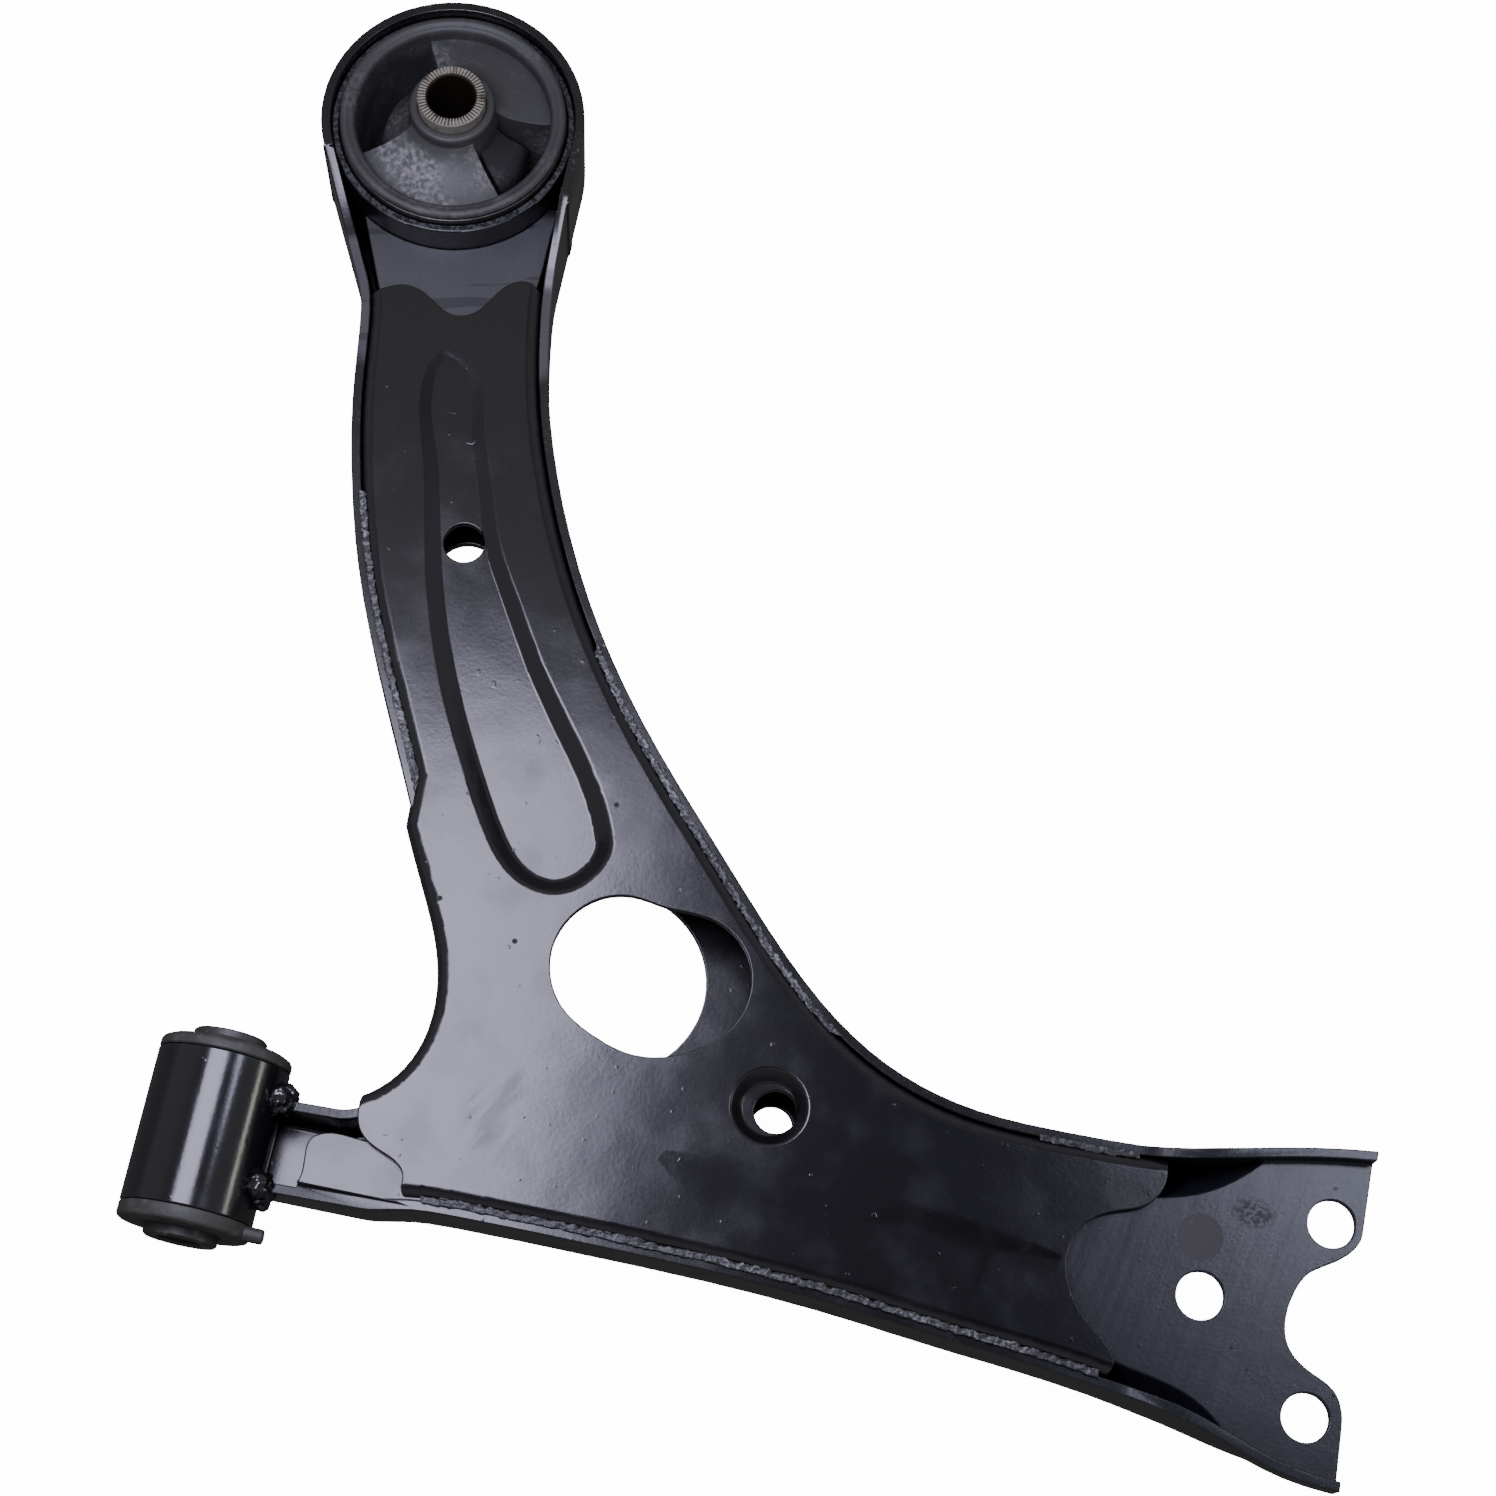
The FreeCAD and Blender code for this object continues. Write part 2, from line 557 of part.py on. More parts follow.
def step_cut():
    """The long narrow facet where the plate steps down towards its front edge, and the strip below it."""
    top = size("plate_top")
    upright = Rotation(Vector(0, 1, 0), Vector(0, 0, 1), Vector(1, 0, 0), "ZXY")
    sections = []
    for number, (x, upper, lower, front) in enumerate(STEP_SECTIONS):
        share = math.sin(math.pi * (number + 0.25) / (len(STEP_SECTIONS) - 0.5))
        deep = top - size("step_depth") * share
        corners = [(upper, top), (lower, deep), (front, top), (front, top + 1), (upper, top + 1)]
        drawn = sketch("step_section_%d" % number, polygon(corners), turn=upright)
        drawn.Placement.Base = Vector(x, 0, 0)
        sections.append(drawn)
    return loft("step_cut", *sections)


def rim(edge, points):
    """Whether an edge in the cover's flat top goes round the points, and not along a shoulder."""
    bounds = edge.BoundBox
    if not level(edge, size("plate_top")):
        return False
    margin = 14
    return (bounds.XMin > min(p[0] for p in points) - margin
            and bounds.XMax < max(p[0] for p in points) + margin
            and bounds.YMin > min(p[1] for p in points) - margin
            and bounds.YMax < max(p[1] for p in points) + margin)


def wall_room():
    """Room under the cover for the pan's edge, where the cover laps over it and down its outside."""
    gap = size("lap_room")
    edges = [side_curve(INBOARD, -gap), reversed_curve(side_curve(INBOARD, size("pan_sheet") + gap))]
    outline = sketch("wall_room_outline", joined(edges), "skirt_bottom - 1")
    strip = extrusion("wall_room_strip", outline, "lip_top + lap_room - skirt_bottom + 1")
    return common("wall_room", strip, box("wall_room_span", *LAP_SPAN))


def upper_plate():
    blank = plate_blank()
    channel_above, channel_below = channel_tools()
    dimple_above, dimple_below, dimple_hole = dimple_tools()
    pressed = fuse("plate_pressed", blank, channel_below, dimple_below)
    dished = cut("plate_dished", pressed, channel_above, dimple_above)
    dished = rounded("plate_channel_rim", dished, "rim_round", lambda e: rim(e, CHANNEL))
    dished = rounded("plate_dimple_rim", dished, "dimple_rim_round", lambda e: rim(e, [DIMPLE]))
    slot = extrusion("plate_slot", sketch("plate_slot_outline", [closed_curve(SLOT)], "pan_bottom"), "40")
    leg_hole = round_bar("leg_top_hole", "leg_hole", "-20", "20", middle=LEG_HOLE)
    trims = [scallop_trim("rear_scallop", REAR_SCALLOP, [(60, 300), (-40, 300)]),
             scallop_trim("outer_scallop", OUTER_SCALLOP, [(300, -40), (300, 70)]),
             scallop_trim("front_scallop", FRONT_SCALLOP, [(0, -30), (0, 30)])]
    rooms = [pad_block(n + "_room", p, -size("pad_room"), "-pad_room", slope) for n, p, slope in PADS]
    return cut("upper_plate", dished, dimple_hole, slot, leg_hole, step_cut(), wall_room(),
               *(trims + rooms))


# --- Steel tubes and sleeves ----------------------------------------------------------------------------

def upright_tube(name, outer, inner, bottom, top, edge=0.3):
    """An upright tube at the rear bush, with its rims eased."""
    outside = at_rear_bush(round_bar(name + "_outside", outer, bottom, top))
    inside = at_rear_bush(round_bar(name + "_inside", inner, "(%s) - 1" % bottom, "(%s) + 1" % top))
    return eased(name, cut(name + "_plain", outside, inside), edge)


def level_tube(name, outer, inner, length, edge=0.3):
    """A tube along the swing axis, centred on the origin, with its rims eased."""
    solids = []
    for suffix, radius, extra in (("_outside", outer, "0"), ("_inside", inner, "2")):
        bar = doc.addObject("Part::Cylinder", name + suffix)
        bind(bar, "Radius", radius)
        bind(bar, "Height", "%s + %s" % (length, extra))
        bar.Placement.Rotation = Rotation(Vector(1, 0, 0), 90)
        bind(bar, "Placement.Base.y", "(%s + %s) / 2" % (length, extra))
        solids.append(bar)
    return eased(name, cut(name + "_plain", *solids), edge)


def eased(name, base, edge):
    doc.recompute()
    result = doc.addObject("Part::Chamfer", name)
    result.Base = base
    circles = [n for n, e in enumerate(base.Shape.Edges, start=1) if e.Curve.TypeId == "Part::GeomCircle"]
    result.Edges = [(n, edge, edge) for n in circles]
    result.Label = name
    return result


# --- Rear bush rubber -----------------------------------------------------------------------------------
# One moulding: a lining with a lip, two wide spokes, and a hub with two bumper lobes in the voids.

OUTER_SPOKE = (12.0, 105.0)
INNER_SPOKE = (212.0, 100.0)
LEFT_LOBE = (128.0, 74.0)
RIGHT_LOBE = (-39.0, 44.0)


def sector(name, outer, inner, bottom, top, begin, sweep):
    solid = at_rear_bush(round_bar(name + "_wide", outer, bottom, top, angle=sweep, begin=begin))
    core = at_rear_bush(round_bar(name + "_core", inner, "(%s) - 1" % bottom, "(%s) + 1" % top))
    return cut(name, solid, core)


def rear_bush_rim():
    lining = upright_tube("rear_lining", "sleeve_inner - 0.02", "lining_inner", "sleeve_bottom + 1",
                          "sleeve_top + 1", 0.2)
    lip = upright_tube("rear_lip", "lip_outer", "lip_inner", "sleeve_top + 0.05", "sleeve_top + lip_height",
                       0.8)
    return fuse("rear_bush_rim", lining, lip)


def rear_bush_spoke(name, place):
    """A wide spoke: upright at the lining, rising in a cone towards the hub."""
    begin, sweep = place
    low = at_rear_bush(round_bar(name + "_low", "lining_inner - 0.05", "lobe_bottom", "spoke_shoulder",
                                 angle=sweep, begin=begin))
    slope = doc.addObject("Part::Cone", name + "_slope")
    bind(slope, "Radius1", "lining_inner - 0.05")
    bind(slope, "Radius2", "hub_radius")
    bind(slope, "Height", "spoke_rise")
    slope.Angle = sweep
    slope.Placement.Rotation = Rotation(Vector(0, 0, 1), begin)
    at_rear_bush(bind(slope, "Placement.Base.z", "spoke_shoulder"))
    core = at_rear_bush(round_bar(name + "_core", "hub_radius + 0.05", "-30", "50"))
    return cut(name, fuse(name + "_whole", low, slope), core)


def rear_bush_hub():
    column = at_rear_bush(round_bar("hub_column", "hub_radius", "hub_bottom", "hub_top"))
    lobes = [sector("hub_left_lobe", "lobe_radius", "hub_radius - 1", "lobe_bottom", "lobe_top",
                    *LEFT_LOBE),
             sector("hub_right_lobe", "lobe_radius", "hub_radius - 1", "lobe_bottom", "lobe_top",
                    *RIGHT_LOBE)]
    hole = at_rear_bush(round_bar("hub_hole", "rear_pin_outer + turn_clearance", "-40", "60"))
    return cut("rear_bush_hub", fuse("hub_whole", column, *lobes), hole)


# --- Front bush rubber ----------------------------------------------------------------------------------

def front_flange(name, side):
    """A rubber end disc with a chamfered outer edge; side is -1 at the front and +1 at the rear."""
    start = side * (size("tube_length") / 2 + 0.1)
    disc = doc.addObject("Part::Cylinder", name + "_disc")
    bind(disc, "Radius", "tube_radius - 0.1")
    bind(disc, "Height", "flange_thickness")
    disc.Placement = Placement(Vector(0, start, 0), Rotation(Vector(1, 0, 0), -90 * side))
    doc.recompute()
    edges = [n for n, e in enumerate(disc.Shape.Edges, start=1)
             if e.Curve.TypeId == "Part::GeomCircle" and abs(e.Curve.Center.y - start) > 1]
    chamfered = doc.addObject("Part::Chamfer", name + "_edge")
    chamfered.Base = disc
    chamfered.Edges = [(n, size("flange_chamfer"), size("flange_chamfer")) for n in edges]
    hole = doc.addObject("Part::Cylinder", name + "_hole")
    bind(hole, "Radius", "front_pin_outer + turn_clearance")
    hole.Height = 100
    hole.Placement = Placement(Vector(0, 50, 0), Rotation(Vector(1, 0, 0), 90))
    if side > 0:
        return cut(name, chamfered, hole)
    lug = doc.addObject("Part::Cylinder", name + "_lug")
    bind(lug, "Radius", "lug_radius")
    bind(lug, "Height", "lug_length")
    lug.Placement = Placement(Vector(14.5, start - 2.2, 4), Rotation(Vector(0, 1, 0), 90))
    return cut(name, fuse(name + "_with_lug", chamfered, lug), hole)


# --- Welds ----------------------------------------------------------------------------------------------

def seam_bead(name, side, low, high):
    """Weld metal in the corner between the cover's shoulder and the pan's edge, inside a box."""
    edges = [side_curve(side, size("bead_inner")), reversed_curve(side_curve(side, size("bead_outer")))]
    strip = extrusion(name + "_strip", sketch(name + "_outline", joined(edges), "bead_bottom"),
                      "bead_height")
    kept = common(name + "_run", strip, box(name + "_span", low, high))
    return cut(name, kept, doc.getObject("plate_body_bend"), pan)


def blobs(name, places):
    """Short weld blobs on the front tube and an ear: balls of metal, by middle and radius."""
    balls = []
    for number, (middle, radius) in enumerate(places):
        ball = doc.addObject("Part::Sphere", "%s_%d" % (name, number))
        ball.Radius = radius
        ball.Placement.Base = Vector(*middle)
        balls.append(ball)
    return cut(name, fuse(name + "_balls", *balls), tube, pan)


def ring_weld():
    """The fillet weld under the pan, where its floor meets the ring."""
    bead = doc.addObject("Part::Torus", "ring_bead")
    bind(bead, "Radius1", "ring_outer + ring_weld_radius")
    bind(bead, "Radius2", "ring_weld_radius")
    bead.Angle3 = 106
    bead.Placement.Rotation = Rotation(Vector(0, 0, 1), 217)
    at_rear_bush(bind(bead, "Placement.Base.z", "pan_bottom - 0.4"))
    return cut("weld_ring", bead, pan)


# --- Assembly -------------------------------------------------------------------------------------------

pan = lower_pan()
tube = level_tube("front_tube", "tube_radius", "tube_radius - tube_wall", "tube_length", 0.5)
subparts = [
    pan,
    upper_plate(),
    tube,
    upright_tube("rear_ring", "ring_outer", "ring_inner", "pan_bottom", "ring_top", 0.5),
    upright_tube("rear_bush_outer_sleeve", "sleeve_outer", "sleeve_inner", "sleeve_bottom", "sleeve_top"),
    rear_bush_rim(),
    rear_bush_spoke("rear_bush_outer_spoke", OUTER_SPOKE),
    rear_bush_spoke("rear_bush_inner_spoke", INNER_SPOKE),
    rear_bush_hub(),
    upright_tube("rear_bush_inner_sleeve", "rear_pin_outer", "rear_pin_bore", "rear_pin_bottom",
                 "rear_pin_top", 0.5),
    level_tube("front_bush_outer_shell", "tube_radius - tube_wall - 0.03",
               "tube_radius - tube_wall - shell_wall", "tube_length"),
    level_tube("front_bush_rubber", "tube_radius - tube_wall - shell_wall - 0.03",
               "front_pin_outer + turn_clearance", "tube_length"),
    front_flange("front_bush_front_flange", -1),
    front_flange("front_bush_rear_flange", 1),
    level_tube("front_bush_inner_sleeve", "front_pin_outer", "front_pin_bore", "front_pin_length", 0.6),
    seam_bead("weld_inboard_seam", INBOARD, (-20, 102, 0), (60, 189, 30)),
    seam_bead("weld_outboard_seam", OUTBOARD, (75, 60, 0), (170, 160, 30)),
    seam_bead("weld_outer_end_seam", OUTBOARD, (222, 20, 0), (250, 60, 30)),
    seam_bead("weld_front_seam", FRONT, (62, -40, 0), (248, 10, 30)),
    blobs("weld_tube_rear_ear", [((17.9, 12.4, 6.4), 2.9), ((19.0, 14.2, 3.6), 2.4)]),
    blobs("weld_tube_front_ear", [((17.8, -10.8, 6.4), 3.0), ((19.0, -12.6, 3.4), 2.5)]),
    ring_weld(),
]
doc.recompute()


def check(things):
    for thing in doc.Objects:
        if "Invalid" in thing.State or "Error" in thing.State:
            raise RuntimeError("failed: %s %s" % (thing.Name, thing.State))
    for thing in things:
        if thing.Shape.isNull() or not thing.Shape.isValid():
            raise RuntimeError("bad shape: " + thing.Label)


check(subparts)
os.makedirs("parts", exist_ok=True)
for thing in subparts:
    thing.Shape.exportStep("parts/%s.step" % thing.Label)
    print("%-26s solids %d volume %.0f" % (thing.Label, len(thing.Shape.Solids), thing.Shape.Volume))
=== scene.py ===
import math

import bpy
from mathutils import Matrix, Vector


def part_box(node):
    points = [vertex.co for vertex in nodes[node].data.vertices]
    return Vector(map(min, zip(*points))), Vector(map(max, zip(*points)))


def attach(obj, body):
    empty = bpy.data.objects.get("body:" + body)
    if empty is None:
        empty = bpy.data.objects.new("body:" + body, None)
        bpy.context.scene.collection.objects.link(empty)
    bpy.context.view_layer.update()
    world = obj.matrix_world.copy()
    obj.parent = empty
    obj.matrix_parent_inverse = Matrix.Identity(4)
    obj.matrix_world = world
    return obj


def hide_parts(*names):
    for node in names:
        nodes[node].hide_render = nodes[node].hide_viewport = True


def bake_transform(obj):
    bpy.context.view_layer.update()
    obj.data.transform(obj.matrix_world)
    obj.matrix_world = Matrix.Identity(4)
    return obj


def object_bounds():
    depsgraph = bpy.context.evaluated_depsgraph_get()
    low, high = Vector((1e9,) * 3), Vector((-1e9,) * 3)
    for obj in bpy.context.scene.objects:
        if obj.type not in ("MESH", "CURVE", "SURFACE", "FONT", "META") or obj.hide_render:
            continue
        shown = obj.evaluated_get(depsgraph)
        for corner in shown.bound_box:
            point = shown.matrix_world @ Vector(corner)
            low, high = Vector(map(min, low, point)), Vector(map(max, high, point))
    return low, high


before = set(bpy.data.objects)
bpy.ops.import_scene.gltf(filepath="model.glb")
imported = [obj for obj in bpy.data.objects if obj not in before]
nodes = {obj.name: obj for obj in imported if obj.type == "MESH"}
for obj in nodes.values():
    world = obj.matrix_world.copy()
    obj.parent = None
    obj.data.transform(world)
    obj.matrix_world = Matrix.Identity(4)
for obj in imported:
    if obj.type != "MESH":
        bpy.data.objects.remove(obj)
cad_low, cad_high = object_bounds()
collection = bpy.context.scene.collection

# Camera: it looks down on the upper side of the arm from a little in front of it, turned so that the
# rear bush is at the top and the ball joint pad is at the lower right.

camera = bpy.data.objects.new("camera", bpy.data.cameras.new("camera"))
collection.objects.link(camera)
camera.location = (0.13676, -0.12739, 0.81484)
camera.rotation_euler = (math.radians(18.004), math.radians(-2.686), math.radians(11.168))
camera.data.lens = 72.19
camera.data.sensor_width = 36
camera.data.clip_start = 0.05
bpy.context.scene.camera = camera

# Studio: a pale floor that the arm lies on and a pale dome round it. The paint's gloss sees neither,
# so it shows only the soft boxes and a dim room, as on a black painted part in a light tent.

room_radius = 9

bpy.ops.object.select_all(action="DESELECT")
bpy.ops.mesh.primitive_circle_add(vertices=64, radius=room_radius, fill_type="NGON",
                                  location=(0.15, 0.15, cad_low.z - 0.0002))
floor = bpy.context.object
floor.name = "floor"
bpy.ops.mesh.primitive_uv_sphere_add(segments=48, ring_count=24, radius=room_radius,
                                     location=(0.15, 0.15, -0.03))
dome = bpy.context.object
dome.name = "dome"
bpy.ops.object.shade_smooth()
for stage_piece, glow in ((floor, 14.0), (dome, 16.0)):
    pale = bpy.data.materials.new(stage_piece.name + "_white")
    pale.use_nodes = True
    surface = pale.node_tree.nodes["Principled BSDF"]
    surface.inputs["Base Color"].default_value = (0.9, 0.9, 0.9, 1)
    surface.inputs["Roughness"].default_value = 0.9
    surface.inputs["Specular IOR Level"].default_value = 0
    surface.inputs["Emission Color"].default_value = (1, 1, 1, 1)
    surface.inputs["Emission Strength"].default_value = glow
    stage_piece.data.materials.append(pale)
    stage_piece.visible_glossy = False
    stage_piece.visible_diffuse = False
    stage_piece.visible_shadow = False

world = bpy.data.worlds.new("room")
bpy.context.scene.world = world
world.use_nodes = True
room = world.node_tree
room_light = room.nodes["Background"]
room_light.inputs["Strength"].default_value = 1
direction = room.nodes.new("ShaderNodeTexCoord")
height = room.nodes.new("ShaderNodeSeparateXYZ")
fade = room.nodes.new("ShaderNodeValToRGB")
fade.color_ramp.elements[0].position = 0
fade.color_ramp.elements[0].color = (0.06, 0.06, 0.06, 1)
fade.color_ramp.elements[1].position = 1
fade.color_ramp.elements[1].color = (0.01, 0.01, 0.012, 1)
for part_of_height, grey in ((0.5, 0.22), (0.62, 0.5), (0.86, 0.48), (0.95, 0.17), (0.985, 0.02)):
    step = fade.color_ramp.elements.new(part_of_height)
    step.color = (grey, grey, grey * 1.08, 1)
half = room.nodes.new("ShaderNodeMath")  # straight down is 0, level is 0.5, straight up is 1
half.operation = "MULTIPLY_ADD"
half.inputs[1].default_value = 0.5
half.inputs[2].default_value = 0.5
room.links.new(direction.outputs["Generated"], height.inputs["Vector"])
room.links.new(height.outputs["Z"], half.inputs[0])
room.links.new(half.outputs["Value"], fade.inputs["Fac"])
room.links.new(fade.outputs["Color"], room_light.inputs["Color"])


def soft_box(name, middle, size, radiance, tint, aim):
    """A soft box, size (width, depth), that shines from its middle towards aim."""
    light = bpy.data.lights.new(name, "AREA")
    light.shape = "RECTANGLE"
    light.size, light.size_y = size
    light.energy = radiance * math.pi * size[0] * size[1]
    light.color = tint
    box = bpy.data.objects.new(name, light)
    collection.objects.link(box)
    box.location = middle
    box.rotation_euler = (Vector(aim) - Vector(middle)).to_track_quat("-Z", "Y").to_euler()
    box.visible_camera = False


soft_box("key_light", (-0.03, 0.114, 0.414), (0.215, 0.258), 15.5, (0.79, 0.78, 1), (-0.03, 0.114, 0))
soft_box("pad_light", (0.49, 0.25, 0.814), (0.2, 0.12), 15.0, (0.76, 0.78, 1), (0.3, 0.05, 0))
soft_box("leg_light", (-0.12, 0.56, 0.814), (0.5, 0.3), 0.42, (1, 0.97, 0.92), (0, 0.2, 0))
soft_box("side_light", (0.93, 0.13, 0.25), (0.28, 0.1), 9.0, (1, 0.96, 0.86), (0, 0.1, 0))

# Lower pan: the deep stamping that carries the load, pressed from thick sheet and dipped in black paint.
# Its cut edges are a little burred. The ball joint's pad is brushed and has a worker's round ink mark.


def deselect():
    """Nothing selected, so that the next operator acts only on what it is given."""
    bpy.ops.object.select_all(action="DESELECT")


def make_active(piece):
    """This piece alone selected, for the operators that follow."""
    deselect()
    piece.select_set(True)
    bpy.context.view_layer.objects.active = piece


def smooth(piece, sharp=35):
    """Smooth shading with the flats kept flat; edges sharper than the angle stay crisp."""
    make_active(piece)
    bpy.ops.object.shade_smooth_by_angle(angle=math.radians(sharp))
    weighted = piece.modifiers.new("weighted", "WEIGHTED_NORMAL")
    weighted.keep_sharp = True
    bpy.ops.object.modifier_apply(modifier="weighted")


def joined_copy(node, name):
    """A copy of a CAD node with its loose triangles joined."""
    piece = bpy.data.objects.new(name, nodes[node].data.copy())
    collection.objects.link(piece)
    make_active(piece)
    bpy.ops.object.mode_set(mode="EDIT")
    bpy.ops.mesh.select_all(action="SELECT")
    bpy.ops.mesh.remove_doubles(threshold=2e-6)
    bpy.ops.object.mode_set(mode="OBJECT")
    return piece


def eased(piece, width, sharper_than=50):
    """The piece with its sharp edges rounded over, as a cut and painted edge is."""
    make_active(piece)
    bpy.ops.object.mode_set(mode="EDIT")
    bpy.ops.mesh.select_all(action="SELECT")
    bpy.ops.mesh.dissolve_limited(angle_limit=math.radians(0.3))
    bpy.ops.object.mode_set(mode="OBJECT")
    bevel = piece.modifiers.new("easing", "BEVEL")
    bevel.width = width
    bevel.segments = 2
    bevel.limit_method = "ANGLE"
    bevel.angle_limit = math.radians(sharper_than)
    bevel.use_clamp_overlap = False
    bevel.miter_outer = "MITER_ARC"
    bpy.ops.object.modifier_apply(modifier="easing")


def finish_piece(piece, material, slot_name, body, *replaced):
    """Gives the piece its finish, its body to ride on and the CAD nodes that it stands for."""
    piece.data.materials.clear()
    piece.data.materials.append(material)
    if body:
        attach(piece, body)
    if replaced:
        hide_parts(*replaced)


class Finish:
    """A node material on Object coordinates, built up in layers."""

    def __init__(self, name, colour, roughness, metallic=0.0):
        self.material = bpy.data.materials.new(name)
        self.material.use_nodes = True
        self.tree = self.material.node_tree
        self.shader = self.tree.nodes["Principled BSDF"]
        self.shader.inputs["Metallic"].default_value = metallic
        self.place = self.tree.nodes.new("ShaderNodeTexCoord").outputs["Object"]
        self.colour = (*colour, 1)
        self.roughness = roughness
        self.normal = None

    def add(self, kind, **settings):
        """A new node of this kind with its settings."""
        node = self.tree.nodes.new(kind)
        for key, value in settings.items():
            setattr(node, key, value)
        return node

    def feed(self, value, socket):
        """Sets the socket to a plain number or colour, or links the pattern that varies into it."""
        if isinstance(value, (int, float, tuple)):
            socket.default_value = value
        else:
            self.tree.links.new(value, socket)

    def moved(self, centre=(0, 0, 0), turn=(0, 0, 0), size=(1, 1, 1)):
        """Object coordinates centred on a point, turned, and divided by size."""
        node = self.add("ShaderNodeMapping", vector_type="TEXTURE")
        node.inputs["Location"].default_value = centre
        node.inputs["Rotation"].default_value = turn
        node.inputs["Scale"].default_value = size
        self.tree.links.new(self.place, node.inputs["Vector"])
        return node.outputs["Vector"]

    def noise(self, scale, detail=2, stretch=None, turn=(0, 0, 0)):
        """Cloudy noise, so many cells to the metre, drawn out along an axis where it is stretched."""
        node = self.add("ShaderNodeTexNoise")
        node.inputs["Scale"].default_value = scale
        node.inputs["Detail"].default_value = detail
        where = self.moved(turn=turn, size=stretch) if stretch else self.place
        self.tree.links.new(where, node.inputs["Vector"])
        return node.outputs["Fac"]

    def ramp(self, value, low, high, start=0.0, end=1.0):
        """The value spread from low..high to start..end, held at both ends."""
        node = self.add("ShaderNodeMapRange", interpolation_type="SMOOTHSTEP")
        for name, number in (("From Min", low), ("From Max", high), ("To Min", start), ("To Max", end)):
            node.inputs[name].default_value = number
        self.tree.links.new(value, node.inputs["Value"])
        return node.outputs["Result"]

    def spot(self, centre, radius, edge=0.3):
        """1 inside a ball round the centre, 0 outside it, over a soft edge."""
        node = self.add("ShaderNodeTexGradient", gradient_type="SPHERICAL")
        size = (radius, radius, radius) if isinstance(radius, (int, float)) else radius
        self.tree.links.new(self.moved(centre=centre, size=size), node.inputs["Vector"])
        return self.ramp(node.outputs["Fac"], 0.0, edge)

    def times(self, first, second):
        """One mask weakened by another, or by a number."""
        node = self.add("ShaderNodeMath", operation="MULTIPLY")
        self.feed(first, node.inputs[0])
        self.feed(second, node.inputs[1])
        return node.outputs["Value"]

    def tint(self, mask, colour):
        """Colours the surface where the mask is 1."""
        node = self.add("ShaderNodeMix", data_type="RGBA")
        self.tree.links.new(mask, node.inputs[0])
        self.feed(self.colour, node.inputs[6])
        node.inputs[7].default_value = (*colour, 1)
        self.colour = node.outputs[2]

    def rough(self, mask, roughness):
        """Makes the surface this rough where the mask is 1."""
        node = self.add("ShaderNodeMix", data_type="FLOAT")
        self.tree.links.new(mask, node.inputs[0])
        self.feed(self.roughness, node.inputs[2])
        node.inputs[3].default_value = roughness
        self.roughness = node.outputs[0]

    def bump(self, height, strength, distance):
        """Raises the surface by the distance where the height is 1, on top of earlier bumps."""
        node = self.add("ShaderNodeBump")
        node.inputs["Strength"].default_value = strength
        node.inputs["Distance"].default_value = distance
        self.tree.links.new(height, node.inputs["Height"])
        if self.normal:
            self.tree.links.new(self.normal, node.inputs["Normal"])
        self.normal = node.outputs["Normal"]

    def done(self):
        """Joins the layers to the shader and hands over the material."""
        self.feed(self.colour, self.shader.inputs["Base Color"])
        self.feed(self.roughness, self.shader.inputs["Roughness"])
        if self.normal:
            self.tree.links.new(self.normal, self.shader.inputs["Normal"])
        return self.material


def black_paint(name, gloss=0.22, waves=0.3):
    """Black dip paint on pressed sheet: slow waves, an orange-peel grain, a few dust nibs, dull patches."""
    finish = Finish(name, (0.005, 0.005, 0.006), gloss)
    finish.bump(finish.noise(38, 2), waves, 0.0005)
    finish.bump(finish.noise(900, 3), 0.16, 0.00012)
    finish.bump(finish.ramp(finish.noise(420, 0), 0.8, 0.86), 0.3, 0.00015)
    finish.rough(finish.ramp(finish.noise(60, 4), 0.45, 0.75), gloss * 1.35)
    return finish


pad_face = 0.0115  # height of the three pads' upper faces
pan_finish = black_paint("pan_paint")
pad_mask = pan_finish.spot((0.292, 0.012, pad_face), (0.075, 0.075, 0.02), 0.25)
brushed = pan_finish.noise(260, 5, stretch=(1, 14, 1), turn=(0, 0, math.radians(-12)))
pan_finish.bump(pan_finish.times(brushed, pad_mask), 0.5, 0.00012)
pan_finish.tint(pad_mask, (0.009, 0.0095, 0.013))
pan_finish.rough(pad_mask, 0.27)
ink = pan_finish.spot((0.2693, 0.0258, pad_face), 0.0066, 0.12)
ink = pan_finish.times(ink, pan_finish.ramp(pan_finish.noise(520, 4), 0.3, 0.42))
pan_finish.tint(ink, (0.034, 0.031, 0.036))
pan_finish.rough(ink, 0.62)
smear = pan_finish.spot((0.2825, 0.035, pad_face), (0.0075, 0.005, 0.01), 0.7)
smear = pan_finish.times(smear, pan_finish.ramp(pan_finish.noise(1100, 6), 0.4, 0.62))
smear = pan_finish.times(smear, 0.6)
pan_finish.tint(smear, (0.02, 0.02, 0.022))
pan_finish.rough(smear, 0.7)
rear_pad = pan_finish.spot((0.012, 0.258, pad_face), (0.045, 0.036, 0.006), 0.15)
pan_finish.tint(rear_pad, (0.04, 0.04, 0.044))
pan_finish.rough(rear_pad, 0.4)
scratches = pan_finish.ramp(pan_finish.noise(170, 2, stretch=(9, 1, 1), turn=(0, 0, 0.25)), 0.63, 0.66)
scratches = pan_finish.times(scratches, rear_pad)
pan_finish.tint(scratches, (0.015, 0.015, 0.017))
pan_finish.rough(scratches, 0.6)
worn = pan_finish.times(pan_finish.ramp(pan_finish.noise(1400, 4), 0.5, 0.68),
                        pan_finish.ramp(pan_finish.noise(90, 2), 0.4, 0.7))
surface = pan_finish.add("ShaderNodeNewGeometry")
edges = pan_finish.ramp(surface.outputs["Pointiness"], 0.53, 0.6)
pan_finish.tint(pan_finish.times(worn, edges), (0.16, 0.16, 0.165))

